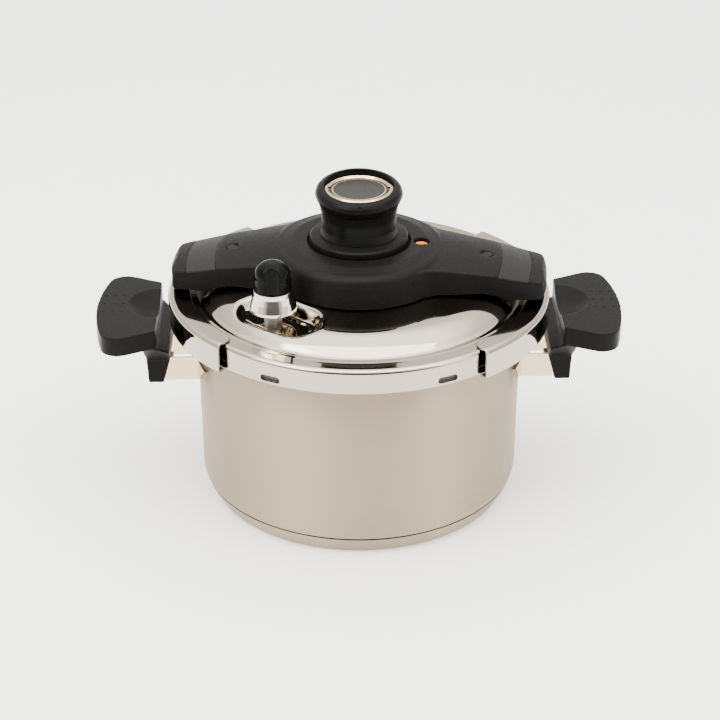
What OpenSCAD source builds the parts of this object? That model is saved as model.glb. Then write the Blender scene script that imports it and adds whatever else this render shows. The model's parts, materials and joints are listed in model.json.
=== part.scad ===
// Stovetop pressure cooker: steel pot, clamped lid and turn-knob bridge. Units mm, +Z up.
// Origin: centre of the base, on the surface the pot stands on. The side handles lie along X.

/* [Pot] */
// Inside diameter of the pot
pot_bore = 220; // [200:5:240]
// Height of the pot rim above the table
rim_z = 132.1; // [120:0.1:160]
// Thickness of the steel wall
wall_t = 1; // [0.8:0.1:1.5]
// Thickness of the layered base
base_t = 5.2; // [4:0.1:7]

/* [Handles] */
// Distance from the axis to the outer edge of a handle
handle_reach = 179; // [170:0.5:190]
// Width of a handle at its outer corners
handle_w = 97.4; // [80:0.1:110]
// Thickness of the grip plate
grip_t = 13.3; // [10:0.1:16]
// Height of the top of the grip plate
grip_z = 133.8; // [126:0.1:140]

/* [Lid] */
// Angle at which the lid is set down on the pot, seen from above
lid_turn = -5.2; // [-10:0.1:10]
// Height of the flat ledge around the dome
ledge_z = 147.2; // [145:0.1:150]
// Height of the dome above the ledge
dome_h = 11.3; // [10:0.1:13]
// Radius of the foot of the dome
dome_r = 109.7; // [106:0.1:110]

/* [Clamp] */
// Inward travel of each jaw from released to clamped
jaw_travel = 4.5; // [3.5:0.1:5]
// Thickness of the jaw sheet
jaw_t = 1.6; // [1.2:0.1:2]

/* [Bridge and knob] */
// Height of the flat top of the hub
hub_z = 183; // [180:0.5:186]
// Half width of an arm where it leaves the hub
arm_half_w = 33.5; // [28:0.5:36]
// Radius of the knob rim
knob_r = 29.4; // [26:0.1:30]
// Height of the bezel in the top of the knob
top_z = 220.2; // [212:0.1:230]
// Tilt of the knob rim, higher at the back
knob_tilt = 5.5; // [0:0.1:8]

/* [Output] */
// Which node to draw

/* [Hidden] */
$fn = 96;
eps = 0.01;
fit = 0.3;                       // gap between surfaces that move past each other
steel = [0.78, 0.76, 0.73];
polished = [0.88, 0.87, 0.85];
black = [0.13, 0.13, 0.13];
soft_black = [0.2, 0.2, 0.2];
brass_col = [0.8, 0.65, 0.35];

pot_r = pot_bore / 2 + wall_t;   // outside radius at the rim
draft = 1.1;                     // how much narrower the wall is at the bottom corner
corner_r = 14;
corner_z = base_t + corner_r;
rim_t = 1.2;
rim_r = pot_r + 10.2;

skirt_r = pot_r + 12.2;          // outside of the lid skirt
skirt_z = rim_z - 1.4;
lid_t = 1.2;
shoulder_r = 2.4;
dome_top_r = 86;
dome_z = ledge_z + dome_h;
dome_arc = (pow(dome_r - dome_top_r, 2) + dome_h * dome_h) / (2 * dome_h);
dome_arc_z = dome_z - dome_arc;

jaw_in = skirt_r + 0.4;
jaw_out = jaw_in + jaw_t;
jaw_edge = dome_r + 0.5;         // inner edge of the jaw plate when clamped
jaw_top = ledge_z + fit + jaw_t;
jaw_low = skirt_z - fit;         // top face of the claw
jaw_near = 47.8;                 // jaw ends, degrees from the arm axis
jaw_far = 50.4;
claw_tabs = 8;
claw_clear = rim_r + 1.4;        // claw edge when released, about the lid axis

plate_z = dome_z + 1.5;          // top of the guide plate
bar_z = plate_z + fit;
bar_t = 2.5;
bar_half = 12;
bar_in = 18;
bar_step_x = 98;
bar_foot_x = 114.6;
cam_z = bar_z + bar_t + 0.5;
cam_t = 2.5;
cam_r = 33;
pin_r = 2.4;
pin_in = 21.5;                   // pin radius when clamped
cam_steps = 24;

arm_screw_x = 86;
arm_end = 127;
arm_end_half = 25;
arm_low = 153.2;
cover_t = 2.6;
hub_r = 60;
fillet_r = 25;
inlay_in = 94.5;
inlay_out = 116.5;
recess_r = 34.6;
recess_z = 180.4;

valve_x = -52;
valve_y = -61;
pocket_turn = -34;
pocket_u = 5.5;                  // centre of the pocket from the valve, along and across it
pocket_v = -2;
pocket_half = 13.5;
pocket_end_r = 20.5;
pocket_floor = ledge_z + 2.8;
bell_z = 158.8;

indicator_x = 42;
indicator_top = 180.4;
safety_x = -58;

// ---------- shared shapes ----------

// everything that belongs to the lid is drawn along X and turned with it
module on_lid() {
    rotate([0, 0, lid_turn]) children();
}

module left_side() {
    rotate([0, 0, 180]) children();
}

module disc(r, z0, z1) {
    translate([0, 0, z0]) cylinder(r = r, h = z1 - z0);
}

module ring(r_in, r_out, z0, z1) {
    difference() {
        disc(r_out, z0, z1);
        disc(r_in, z0 - 1, z1 + 1);
    }
}

module hex(across, z0, z1) {
    translate([0, 0, z0]) cylinder(r = across / sqrt(3), h = z1 - z0, $fn = 6);
}

module box(x0, x1, y0, y1, z0, z1) {
    translate([x0, y0, z0]) cube([x1 - x0, y1 - y0, z1 - z0]);
}

// slot along X with round ends
module slot2d(x0, x1, r) {
    translate([x0, 0]) circle(r);
    translate([x1, 0]) circle(r);
    translate([x0, -r]) square([x1 - x0, 2 * r]);
}

module prism(z0, z1) {
    translate([0, 0, z0]) linear_extrude(z1 - z0) children();
}

// ---------- pot ----------

// half section of the pot's outer form, shrunk by t for the inside
module pot_section(t, top) {
    r_low = pot_r - draft;
    translate([r_low - corner_r, corner_z]) circle(corner_r - t);
    translate([0, base_t + t]) square([r_low - corner_r, corner_z - base_t]);
    polygon([[0, corner_z], [r_low - t, corner_z], [pot_r - t, rim_z - 2], [pot_r - t, top], [0, top]]);
}

module right_half() {
    translate([0, -1]) square([400, 400]);
}

module pot_body() {
    color(steel) rotate_extrude() intersection() {
        difference() {
            pot_section(0, rim_z - rim_t);
            pot_section(wall_t, rim_z + 1);
        }
        right_half();
    }
}

module pot_rim() {
    bend = 1.8;
    color(polished) rotate_extrude() {
        translate([pot_r + bend - wall_t, rim_z - rim_t])
            square([rim_r - rim_t / 2 - pot_r - bend + wall_t, rim_t]);
        translate([rim_r - rim_t / 2, rim_z - rim_t / 2]) circle(rim_t / 2);
        intersection() {
            translate([pot_r + bend - wall_t, rim_z - bend]) difference() {
                circle(bend);
                circle(bend - rim_t);
            }
            translate([pot_r - wall_t, rim_z - rim_t]) square([bend, bend]);
        }
    }
}

cap_r = pot_r - 8.4;
cap_edge_z = 12;
cap_edge_r = pot_r - 2.5;
core_top_z = 8;
module cap_section(t) {
    foot = 4;
    polygon([[0, t], [cap_r - foot, t], [cap_r - t, foot], [cap_edge_r - t, cap_edge_z],
        [0, cap_edge_z]]);
    translate([cap_r - foot, foot]) circle(foot - t);
}

module base_core() {
    cap_t = 0.8;
    color([0.7, 0.7, 0.72]) rotate_extrude() intersection() {
        difference() {
            cap_section(cap_t);
            pot_section(0, 40);
        }
        translate([0, cap_t]) square([200, core_top_z - cap_t]);
    }
}

module base_cap() {
    cap_t = 0.8;
    color(steel) rotate_extrude() intersection() {
        difference() {
            cap_section(0);
            cap_section(cap_t);
            pot_section(0, 40);
        }
        right_half();
    }
}

// ---------- side handles ----------

bracket_z0 = 87.3;
bracket_z1 = 104.3;
bracket_half = 19.5;
bracket_end = 138;
bracket_t = 1.6;
stem_in = 129;
stem_low = 88 - 2.6;
screw_z = 96;

// strap bent into a U, with two pointed tabs lying on the pot wall
module bracket() {
    tab_half = 41.5;
    intersection() {
        prism(bracket_z0, bracket_z1) difference() {
            union() {
                translate([90, -bracket_half]) square([bracket_end - 90, 2 * bracket_half]);
                intersection() {
                    circle(pot_r + bracket_t, $fn = 180);
                    translate([90, -tab_half]) square([40, 2 * tab_half]);
                }
            }
            translate([90, bracket_t - bracket_half])
                square([bracket_end - 90 - bracket_t, 2 * (bracket_half - bracket_t)]);
            circle(pot_r, $fn = 180);
        }
        // lower edge of each tab rises to a point
        translate([90, 0, 0]) rotate([90, 0, 90]) linear_extrude(60)
            polygon([[-tab_half, bracket_z1], [-bracket_half, bracket_z0], [bracket_half, bracket_z0],
                [tab_half, bracket_z1]]);
    }
}

module bracket_with_hole() {
    difference() {
        bracket();
        translate([bracket_end - 10, 0, screw_z]) rotate([0, 90, 0]) cylinder(r = 2.6, h = 20);
    }
}

module handle_bracket_right() {
    color(polished) bracket_with_hole();
}

module handle_bracket_left() {
    color(polished) left_side() bracket_with_hole();
}

grip_inner_half = 38;

// plan of the grip plate: fans out to rounded corners and a gently curved outer edge
module grip_plan() {
    inner = 137;
    corner = 12;
    arc = 150;
    arc_x = handle_reach - arc;
    corner_y = handle_w / 2 - corner;
    corner_x = arc_x + sqrt(pow(arc - corner, 2) - corner_y * corner_y);
    side = [corner_x - 5, corner_y + 10.9];
    far = [arc_x + (corner_x - arc_x) * 1.3, corner_y * 1.3];
    intersection() {
        union() {
            polygon([[inner, -grip_inner_half], [side[0], -side[1]], [corner_x, -corner_y], [far[0], -far[1]],
                [far[0], far[1]], [corner_x, corner_y], side, [inner, grip_inner_half]]);
            for (s = [-1, 1]) translate([corner_x, s * corner_y]) circle(corner);
        }
        translate([arc_x, 0]) circle(arc, $fn = 240);
    }
}

// section of the stem, looking along Y: tapered below, stepped out under the grip
module stem_profile() {
    grip_low = grip_z - grip_t;
    polygon([[stem_in, 103.5], [stem_in + 5.2, stem_low], [144.5, stem_low], [146.2, grip_low - 2],
        [149, grip_low + 1], [149, grip_z - 3], [137, grip_z - 3], [137, grip_low],
        [stem_in, grip_low - 5.5]]);
}

// section of the stem, looking along X: narrow below, flared to the width of the grip
module stem_front() {
    grip_low = grip_z - grip_t;
    flare = grip_inner_half;
    polygon([[-20.5, stem_low], [20.5, stem_low], [20.5, 103], [flare, grip_low - 1], [flare, grip_z],
        [-flare, grip_z], [-flare, grip_low - 1], [-20.5, 103]]);
}

module handle() {
    scoop_r = 46;
    scoop_y = 4.5;
    difference() {
        union() {
            prism(grip_z - grip_t, grip_z) grip_plan();
            intersection() {
                translate([0, 100, 0]) rotate([90, 0, 0]) linear_extrude(200) stem_profile();
                translate([120, 0, 0]) rotate([90, 0, 90]) linear_extrude(40) stem_front();
            }
        }
        // thumb scoop at the inner edge
        translate([134.5, scoop_y, grip_z + scoop_r - 6.5]) rotate([0, 14, 0]) intersection() {
            sphere(scoop_r, $fn = 120);
            translate([-40, -22, -60]) cube([80, 44, 60]);
        }
        // pocket for the bracket and the screw
        box(stem_in - 2, bracket_end + 0.1, -bracket_half - 0.1, bracket_half + 0.1,
            bracket_z0 - 0.1, bracket_z1 + 0.1);
        translate([bracket_end - 5, 0, screw_z]) rotate([0, 90, 0]) cylinder(r = 2.7, h = 30);
        translate([142.5, 0, screw_z]) rotate([0, 90, 0]) cylinder(r = 5, h = 20);
        // grip dimples
        for (i = [-1, 0, 1]) for (j = [-1, 0, 1])
            translate([167.5 + 6.4 * i, scoop_y + 12 * j, grip_z - 0.4]) cylinder(r = 0.9, h = 1, $fn = 16);
    }
}

module handle_right() {
    color(black) handle();
}

module handle_left() {
    color(black) mirror([1, 0, 0]) handle();
}

module handle_screw() {
    translate([0, 0, screw_z]) rotate([0, 90, 0]) {
        translate([0, 0, 128]) cylinder(r = 2.5, h = 14.5);
        difference() {
            translate([0, 0, 142.5]) cylinder(r = 4.6, h = 2.2);
            translate([0, 0, 143.6]) cylinder(r = 2.1, h = 3, $fn = 6);
        }
    }
}

module handle_screws() {
    color(steel) {
        handle_screw();
        left_side() handle_screw();
    }
}

// ---------- lid ----------

// half section of the lid's outer form, shrunk by t
module lid_section(t) {
    translate([0, skirt_z - 5]) square([skirt_r - t, ledge_z - shoulder_r - skirt_z + 5]);
    translate([0, skirt_z]) square([skirt_r - shoulder_r, ledge_z - t - skirt_z]);
    translate([skirt_r - shoulder_r, ledge_z - shoulder_r]) circle(shoulder_r - t);
    translate([0, skirt_z]) square([dome_top_r, dome_z - t - skirt_z]);
    translate([dome_top_r, dome_arc_z]) circle(dome_arc - t, $fn = 144);
}

module lid_solid(t) {
    rotate_extrude($fn = 180) intersection() {
        lid_section(t);
        translate([0, skirt_z - 5 * sign(t)]) square([200, 100]);
    }
}

// block along X whose long sides slope out from half width h0 at z0 to h1 at z1
module sloped_block(h0, h1, z0, z1) {
    reach = 60;
    translate([-reach, 0, 0]) rotate([90, 0, 90]) linear_extrude(2 * reach)
        polygon([[-h0, z0], [h0, z0], [h1, z1], [-h1, z1]]);
}

// the space the valve pocket takes out of the dome, grown by t: sloping sides, round corners
module pocket(t) {
    low = pocket_floor - t;
    high = pocket_floor + 12;
    translate([valve_x, valve_y, 0]) rotate([0, 0, pocket_turn]) translate([pocket_u, pocket_v, 0])
        intersection() {
            prism(low, dome_z + 3) slot2d(-pocket_half, pocket_half, pocket_end_r + t);
            sloped_block(13.5 + t, 22.5 + t, low - 0.1, high);
            rotate([0, 0, 90]) sloped_block(24 + t, 37 + t, low - 0.1, high);
        }
}

module lid_shell() {
    slot_half = 3.3;
    color(polished) on_lid() difference() {
        union() {
            difference() {
                lid_solid(0);
                difference() {
                    lid_solid(lid_t);
                    pocket(lid_t);
                }
            }
            // rolled lower edge of the skirt
            rotate_extrude($fn = 180) translate([skirt_r - 0.65, skirt_z + 0.75]) circle(0.75, $fn = 24);
        }
        pocket(0);
        // windows in the skirt that let the gasket out if the pressure is too high
        for (a = [-23.4, 31.4]) rotate([0, 0, a - 90]) translate([110, 0, skirt_z + 3.9])
            rotate([90, 0, 90]) linear_extrude(30) slot2d(-slot_half - 1.6, slot_half + 1.6, 2.1);
        // holes for the valve, the stud, the indicator and the safety valve
        translate([valve_x, valve_y, 0]) disc(4.1, pocket_floor - 5, pocket_floor + 5);
        disc(4.1, dome_z - 5, dome_z + 5);
        translate([indicator_x, 0, 0]) disc(6.1, dome_z - 5, dome_z + 5);
        translate([safety_x, 0, 0]) disc(7.1, dome_z - 5, dome_z + 5);
    }
}

// C-section sealing ring between the rim and the lid
module lid_gasket() {
    outer = skirt_r - lid_t - 0.1;
    inner = pot_r + 0.6;
    low = rim_z + 0.1;
    high = ledge_z - lid_t;
    color(soft_black) on_lid() rotate_extrude() {
        translate([inner, high - 2.6]) square([outer - inner - 1.4, 2.6]);
        translate([outer - 3, low + 2]) square([3, high - low - 4.2]);
        translate([outer - 3, high - 4]) square([1.6, 3.9]);
        translate([inner, low]) square([outer - inner - 0.7, 2.6]);
    }
}

// plate on the dome whose upturned edges guide the slide bars
module guide_plate() {
    rail_in = bar_half + fit;
    rail_out = rail_in + 1.5;
    color(steel) on_lid() difference() {
        union() {
            prism(dome_z, plate_z) intersection() {
                square([150, 2 * rail_out], center = true);
                circle(77);
            }
            disc(24, dome_z, plate_z);
            for (s = [-1, 1]) for (m = [-1, 1]) translate([s * 55, m * (rail_in + rail_out) / 2, 0])
                box(-17, 17, -0.75, 0.75, dome_z, bar_z + bar_t);
        }
        disc(4.1, dome_z - 1, plate_z + 1);
        translate([indicator_x, 0, 0]) disc(9, dome_z - 1, plate_z + 1);
        translate([safety_x, 0, 0]) disc(9.5, dome_z - 1, plate_z + 1);
    }
}

stud_top = recess_z + 5.7;
module centre_stud() {
    color(steel) on_lid() {
        disc(4, dome_z - 9, stud_top);
        disc(9, plate_z, plate_z + 1.8);
    }
}

module centre_nut() {
    color(steel) on_lid() difference() {
        union() {
            hex(14, dome_z - lid_t - 7, dome_z - lid_t - 1);
            disc(9.5, dome_z - lid_t - 1, dome_z - lid_t);
        }
        disc(4, dome_z - 20, dome_z);
    }
}

// posts welded to the dome that carry the arms
module lid_studs() {
    color(steel) on_lid() for (s = [-1, 1]) translate([s * arm_screw_x, 0, 0]) difference() {
        disc(4, dome_z, bar_z + bar_t + 0.6);
        disc(2, dome_z + 2, bar_z + bar_t + 1);
    }
}

arm_screw_z = 171.5;
module bridge_screws() {
    color(soft_black) on_lid() for (s = [-1, 1]) translate([s * arm_screw_x, 0, 0]) {
        disc(2, dome_z + 2.4, arm_screw_z);
        disc(3.9, arm_screw_z, arm_screw_z + 2.8);
    }
}

// ---------- bridge ----------

// plan of one arm with its rounded tip; inset draws the inside
module arm_plan(inset) {
    end_c = 8;
    end_x = arm_end - end_c;
    intersection() {
        union() {
            polygon([[0, inset - arm_half_w], [60, inset - arm_half_w], [end_x, inset - arm_end_half],
                [end_x, arm_end_half - inset], [60, arm_half_w - inset], [0, arm_half_w - inset]]);
            for (m = [-1, 1]) translate([end_x, m * (arm_end_half - end_c)]) circle(end_c - inset);
            translate([end_x - 1, end_c - arm_end_half])
                square([end_c + 1 - inset, 2 * (arm_end_half - end_c)]);
        }
        translate([arm_end - 95, 0]) circle(95 - inset, $fn = 180);
    }
}

// plan of the two fillets where an arm meets the hub
module fillet_plan(inset) {
    fx = sqrt(pow(hub_r + fillet_r, 2) - pow(arm_half_w + fillet_r, 2));
    fy = arm_half_w + fillet_r;
    tx = fx * hub_r / (hub_r + fillet_r);
    ty = fy * hub_r / (hub_r + fillet_r);
    for (m = [-1, 1]) difference() {
        polygon([[0, 0], [tx, m * ty], [fx, m * fy], [fx, 0]]);
        translate([fx, m * fy]) circle(fillet_r + inset);
    }
}

// cylinder lying along an arm, whose crown passes through the point (x, z) at the given slope
module crown(x, z, slope) {
    crown_r = 155;
    translate([x, 0, z]) rotate([0, 90 + slope, 0]) translate([crown_r, 0, -120])
        cylinder(r = crown_r, h = 260);
}

// top of the steeper part of an arm, lowered by drop
module tip_crown(drop) {
    crown(inlay_in, 173.5 - drop, 12.8);
}

// one arm: crowned on top, steeper across the inlay, chamfered at the tip
module arm(inset, drop, low) {
    intersection() {
        prism(low, hub_z - 0.1 - drop) arm_plan(inset);
        crown(46, 182 - drop, 9.94);
        tip_crown(drop);
        side_view() polygon([[-1, low - 1], [arm_end + 1, low - 1], [arm_end + 1, 162.3 - drop],
            [arm_end - 3, 166.7 - drop], [40, 200], [-1, 200]]);
    }
    intersection() {
        prism(low, hub_z) fillet_plan(inset);
        side_view() polygon([[-1, low - 1], [90, low - 1], [90, 170.3 - drop], [10, 184.3 - drop],
            [-1, 184.3 - drop]]);
    }
}

// solid with the given outline as seen from the front
module side_view() {
    translate([0, 90, 0]) rotate([90, 0, 0]) linear_extrude(180) children();
}

module arms(inset, drop, low) {
    for (s = [0, 180]) rotate([0, 0, s]) arm(inset, drop, low);
}

// hub in half section: nearly flat top that rounds over into the side
module hub_section(t) {
    edge = 7.5;
    edge_x = hub_r - edge;
    edge_z = hub_z - 2 - edge;
    translate([edge_x, edge_z]) circle(edge - t, $fn = 32);
    translate([0, arm_low]) square([hub_r - t, edge_z - arm_low]);
    polygon([[0, arm_low], [edge_x, arm_low], [edge_x, edge_z + edge - t], [45, hub_z - t], [0, hub_z - t]]);
}

// plan of the inlay band across an arm, between two bowed edges
module inlay_plan(grow) {
    bow = 150;
    intersection() {
        translate([inlay_out + grow - bow, 0]) circle(bow, $fn = 120);
        difference() {
            translate([inlay_in - 6, -40]) square([60, 80]);
            translate([inlay_in - grow - bow + 2, 0]) circle(bow, $fn = 120);
        }
    }
}

// layer of an arm between two depths below its top, as long as the inlay band
module inlay_layer(d0, d1, inset, grow) {
    difference() {
        intersection() {
            prism(arm_low, hub_z) intersection() {
                arm_plan(inset);
                inlay_plan(grow);
            }
            tip_crown(d0);
        }
        tip_crown(d1);
    }
}

module bridge_cover() {
    boss_r = 6.4;
    color(black) on_lid() difference() {
        union() {
            difference() {
                union() {
                    arms(0, 0, arm_low);
                    rotate_extrude() hub_section(0);
                }
                arms(cover_t, cover_t, arm_low - 1);
                translate([0, 0, -eps]) rotate_extrude() hub_section(cover_t);
            }
            // bosses for the arm screws
            for (s = [-1, 1]) translate([s * arm_screw_x, 0, 0])
                disc(boss_r, bar_z + bar_t + 0.6, 173.4);
            // floor of the knob recess
            disc(recess_r + 2.5, recess_z - 2.6, hub_z - 1);
            // collar that guides the pressure indicator
            translate([indicator_x, 0, 0]) disc(7, 176, hub_z - 1);
        }
        // knob recess and shaft hole
        disc(recess_r, recess_z, hub_z + 1);
        disc(8.4, 170, hub_z);
        // fine line round the top of the hub
        ring(51.8, 52.3, hub_z - 2.3, hub_z + 1);
        // indicator hole
        translate([indicator_x, 0, 0]) disc(5.1, indicator_top - 2, hub_z + 1);
        translate([indicator_x, 0, 0]) disc(2.9, 170, hub_z);
        // screw holes in the arms
        for (s = [-1, 1]) translate([s * arm_screw_x, 0, 0]) {
            disc(4.2, arm_screw_z, 180);
            disc(2.2, 160, 180);
        }
        // seats of the inlays
        for (s = [0, 180]) rotate([0, 0, s]) inlay_layer(-1, 1.5, -1, 0);
        // clearance over the dome
        rotate_extrude() intersection() {
            lid_section(-fit);
            right_half();
        }
    }
}

module arm_inlay() {
    inlay_layer(0.35, 1.5, 0.15, -0.15);
}

module arm_inlay_right() {
    color(soft_black) on_lid() arm_inlay();
}

module arm_inlay_left() {
    color(soft_black) on_lid() left_side() arm_inlay();
}

// ---------- jaws: drawn for the right side, released ----------

module jaw_sector(z0, z1) {
    rotate_extrude(angle = jaw_near + jaw_far, start = -jaw_near, $fn = 180)
        translate([jaw_edge, z0]) square([jaw_out - jaw_edge, z1 - z0]);
}

// rounded inner corner of the top plate at one end
module jaw_corner(a, side) {
    c = 7;
    rotate([0, 0, a]) translate([jaw_edge, 0, 0]) prism(jaw_top - jaw_t - 0.5, jaw_top + 1) difference() {
        translate([-3, side > 0 ? -c : -1]) square([c + 3, c + 1]);
        translate([c + 0.2, side > 0 ? -c : c]) circle(c);
    }
}

module jaw_arc() {
    rotate_extrude(angle = jaw_near + jaw_far, start = -jaw_near, $fn = 180) children();
}

module jaw() {
    bend = 2.6;
    translate([jaw_travel, 0, 0]) difference() {
        jaw_arc() difference() {
            union() {
                translate([jaw_edge, jaw_low - jaw_t])
                    square([jaw_out - jaw_edge - bend, jaw_top - jaw_low + jaw_t]);
                translate([jaw_edge, jaw_low + jaw_t])
                    square([jaw_out - jaw_edge, jaw_top - jaw_low - jaw_t - bend]);
                translate([jaw_out - bend, jaw_top - bend]) circle(bend, $fn = 48);
                translate([jaw_in, jaw_low]) square([jaw_t, bend]);
            }
            translate([jaw_edge - 1, 0]) square([jaw_in - jaw_edge + 1 - bend + jaw_t, jaw_top - jaw_t]);
            translate([jaw_edge - 1, 0]) square([jaw_in - jaw_edge + 1, jaw_top - bend]);
            translate([jaw_out - bend, jaw_top - bend]) circle(bend - jaw_t, $fn = 48);
            translate([jaw_edge - 1, 0]) square([jaw_out - jaw_edge + 2, jaw_low]);
        }
        jaw_corner(jaw_far, 1);
        jaw_corner(-jaw_near, -1);
        // rivet holes
        for (m = [-1, 0, 1]) translate([118.5 - jaw_travel, m * 8, 0]) disc(1.5, jaw_top - 3, jaw_top + 1);
    }
}

// lower lip of the jaw, which hooks under the pot rim
module jaw_claw() {
    difference() {
        translate([jaw_travel, 0, 0]) jaw_arc() {
            bend = 1.6;
            translate([jaw_edge, jaw_low - jaw_t]) square([jaw_out - jaw_edge - bend, jaw_t]);
            intersection() {
                translate([jaw_out - bend, jaw_low]) circle(bend, $fn = 48);
                translate([jaw_out - bend, jaw_low - jaw_t]) square([bend, jaw_t]);
            }
        }
        disc(claw_clear, jaw_low - 5, jaw_low + 5);
        // slits that part the lip into tabs
        translate([jaw_travel, 0, 0]) for (i = [1:claw_tabs - 1])
            rotate([0, 0, i * (jaw_near + jaw_far) / claw_tabs - jaw_near])
                box(jaw_edge, jaw_out + 1, -0.2, 0.2, jaw_low - jaw_t - 1, jaw_low + 1);
    }
}

module jaw_right() {
    color(polished) on_lid() jaw();
}

module jaw_left() {
    color(polished) on_lid() left_side() jaw();
}

module jaw_claw_right() {
    color(polished) on_lid() jaw_claw();
}

module jaw_claw_left() {
    color(polished) on_lid() left_side() jaw_claw();
}

// bar that links a jaw to the cam: flat over the dome, then stepped down to the jaw plate
module slide_bar() {
    foot_end = 122.6;
    difference() {
        translate([0, bar_half, 0]) rotate([90, 0, 0]) linear_extrude(2 * bar_half)
            polygon([[bar_in, bar_z], [bar_step_x, bar_z], [bar_foot_x, jaw_top], [foot_end, jaw_top],
                [foot_end, jaw_top + bar_t - 0.5], [bar_foot_x + 0.6, jaw_top + bar_t - 0.5],
                [bar_step_x + 0.8, bar_z + bar_t], [bar_in, bar_z + bar_t]]);
        // slot for the arm post, the indicator or safety valve, and the cam pin seat
        prism(bar_z - 1, bar_z + bar_t + 1) {
            slot2d(arm_screw_x, arm_screw_x + jaw_travel, 4 + fit);
            translate([pin_in + jaw_travel, 0]) circle(pin_r);
            children();
        }
        // rivet holes in the foot
        for (m = [-1, 0, 1]) translate([118.5, m * 8, 0]) disc(1.5, jaw_top - 1, jaw_top + 4);
    }
}

module slide_bar_right() {
    color(steel) on_lid() slide_bar() slot2d(indicator_x, indicator_x + jaw_travel, 3.4);
}

module slide_bar_left() {
    color(steel) on_lid() left_side() slide_bar() slot2d(-safety_x, jaw_travel - safety_x, 8.3);
}

module cam_pin() {
    translate([pin_in + jaw_travel, 0, 0]) disc(pin_r, bar_z, cam_z + cam_t + 1.4);
}

module cam_pin_right() {
    color(brass_col) on_lid() cam_pin();
}

module cam_pin_left() {
    color(brass_col) on_lid() left_side() cam_pin();
}

module jaw_rivets() {
    for (m = [-1, 0, 1]) translate([118.5, m * 8, 0]) {
        disc(1.5, jaw_top - jaw_t, jaw_top + bar_t - 0.5);
        disc(2.6, jaw_top + bar_t - 0.5, jaw_top + bar_t + 0.5);
    }
}

module jaw_rivets_right() {
    color(steel) on_lid() jaw_rivets();
}

module jaw_rivets_left() {
    color(steel) on_lid() left_side() jaw_rivets();
}

// ---------- knob ----------

shaft_in = 4 + fit;
shaft_out = 7.4;
module knob_shaft() {
    color(steel) on_lid() {
        ring(shaft_in, shaft_out, plate_z + 2.2, recess_z + 5.4);
        // collar under the cover
        ring(shaft_in, 11, cam_z + cam_t, cam_z + cam_t + 2);
    }
}

function spiral(a, off) = let (r = pin_in + jaw_travel * (1 - a / 90) + off) [r * cos(a), r * sin(a)];

// spiral slots: a quarter turn carries the pins in by the jaw travel
module cam_plate() {
    half = pin_r + fit;
    color(steel) on_lid() prism(cam_z, cam_z + cam_t) difference() {
        circle(cam_r);
        circle(shaft_out);
        for (s = [0, 180]) rotate(s) {
            polygon(concat([for (i = [0:cam_steps]) spiral(90 * i / cam_steps, half)],
                [for (i = [cam_steps:-1:0]) spiral(90 * i / cam_steps, -half)]));
            translate(spiral(0, 0)) circle(half);
            translate(spiral(90, 0)) circle(half);
        }
    }
}

module knob_base() {
    low = recess_z + fit;
    color(black) on_lid() rotate_extrude() difference() {
        union() {
            polygon([[0, low], [33.2, low], [33.2, 186.2], [32.4, 187], [27, 188.2], [0, 188.2]]);
        }
        square([shaft_out, 300]);
        translate([0, 185.8]) square([12, 20]);
    }
}

// the part that is gripped: flared foot, waist, and a rim that is tilted towards the front
module knob_grip() {
    waist_r = 25.2;
    rim_z = 215.6;
    pivot = 212;
    color(black) on_lid() difference() {
        union() {
            rotate_extrude() polygon([[0, 188.2], [26.4, 188.2], [26.2, 189.2], [25.5, 190.6],
                [waist_r, 193], [waist_r, 202], [25.6, 206], [26.2, 209], [26.2, 210], [0, 210]]);
            rotate([0, 0, -lid_turn]) translate([0, 0, pivot]) rotate([knob_tilt, 0, 0])
                translate([0, 0, -pivot]) rotate_extrude()
                    polygon([[0, 206], [24.4, 206], [26.3, 209.6], [27.3, 212.2], [knob_r - 0.7, rim_z - 1],
                        [knob_r, rim_z + 0.4], [knob_r - 0.1, rim_z + 1.8], [knob_r - 1, rim_z + 3.4],
                        [knob_r - 2.6, rim_z + 4.8], [25.2, rim_z + 5.7], [24, rim_z + 6], [0, rim_z + 6]]);
        }
        disc(12, 180, top_z - 5);
        disc(23.5, top_z - 3, top_z + 10);
        // index mark
        rotate([0, 0, -90 - lid_turn]) translate([27.4, 0, rim_z + 1.6]) sphere(0.8, $fn = 24);
    }
}

module knob_bezel() {
    color(polished) on_lid() rotate_extrude() intersection() {
        difference() {
            translate([19.4, top_z - 3]) square([4, 3]);
            translate([0, top_z - 1.6]) square([20.4, 5]);
        }
        polygon([[18, 200], [23.4, 200], [23.4, top_z - 0.7], [22.7, top_z], [20.8, top_z],
            [18, top_z - 1.8]]);
    }
}

module knob_plate() {
    color(soft_black) on_lid() disc(19.35, top_z - 3, top_z - 1.4);
}

module knob_trim() {
    color(brass_col) on_lid() ring(17.3, 18.1, top_z - 1.4, top_z - 1.2);
}

// screw and washer that hold the knob down on its stud
module retaining_screw() {
    color(steel) on_lid() {
        disc(8.4, stud_top, stud_top + 1);
        difference() {
            disc(6, stud_top + 1, stud_top + 4.4);
            hex(5, stud_top + 2.4, stud_top + 5);
        }
    }
}

// ---------- operating valve ----------

module at_valve() {
    on_lid() translate([valve_x, valve_y, 0]) children();
}

nozzle_top = 167;
module valve_nozzle() {
    color(steel) at_valve() difference() {
        union() {
            disc(4, pocket_floor - 8, pocket_floor);
            hex(10.4, pocket_floor, pocket_floor + 4.4);
            disc(5.8, pocket_floor + 4.4, bell_z + 0.6);
            disc(4, bell_z, nozzle_top);
            translate([0, 0, nozzle_top]) cylinder(r1 = 4, r2 = 2.4, h = 1.6);
        }
        disc(1.3, pocket_floor - 10, nozzle_top + 3);
        // groove for the spring clip
        ring(3.3, 5, 162.4, 163.8);
    }
}

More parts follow.
